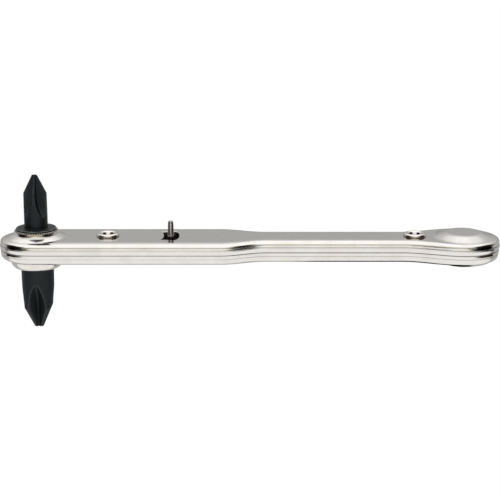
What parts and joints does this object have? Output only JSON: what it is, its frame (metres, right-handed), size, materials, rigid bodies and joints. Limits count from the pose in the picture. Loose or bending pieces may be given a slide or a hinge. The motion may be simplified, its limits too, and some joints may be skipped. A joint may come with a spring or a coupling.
{
  "type": "ratcheting screwdriver",
  "caption": "Offset ratchet screwdriver: flat plated steel body with a bulbed grip, a double-ended cross-point spindle square to it and a small reversing pin.",
  "frame": {"origin": "tip of the large point, on the spindle's axis", "axes": "+Z along the spindle from the large point to the small point, +X from the head to the grip end"},
  "size_m": [0.1269, 0.0194, 0.0395],
  "materials": {
    "nickel_plate": "satin nickel plate on pressed steel",
    "black_oxide": "black oxide, satin",
    "hardened_steel": "ground and hardened",
    "spring_steel": "blued spring steel",
    "bronze": "sintered bearing bronze"
  },
  "bodies": {
    "body": {"upper_shell": "nickel_plate", "lower_shell": "nickel_plate", "upper_bush": "nickel_plate", "lower_bush": "bronze", "upper_thrust_washer": "hardened_steel", "lower_thrust_washer": "hardened_steel", "pivot_bush": "hardened_steel", "pivot_washer": "hardened_steel", "detent_leaf": "spring_steel", "spring_posts": "hardened_steel", "rivets": "nickel_plate", "rear_spacer": "hardened_steel"},
    "spindle": {"bit": "black_oxide", "ratchet_gear": "hardened_steel", "drive_keys": "hardened_steel", "friction_washer": "spring_steel", "retaining_ring": "spring_steel"},
    "reverser": {"rocker_pawl": "black_oxide", "reversing_pin": "hardened_steel"}
  },
  "joints": [
    {"name": "spindle_spin", "type": "hinge", "parent": "body", "child": "spindle", "pos_m": [0, 0, 0.02075], "axis": [0, 0, 1], "continuous": true},
    {"name": "reverser_swing", "type": "hinge", "parent": "body", "child": "reverser", "pos_m": [0.01815, 0, 0.02075], "axis": [0, 0, 1], "range_deg": [-12, 12], "deforming": ["detent_leaf"]}
  ]
}
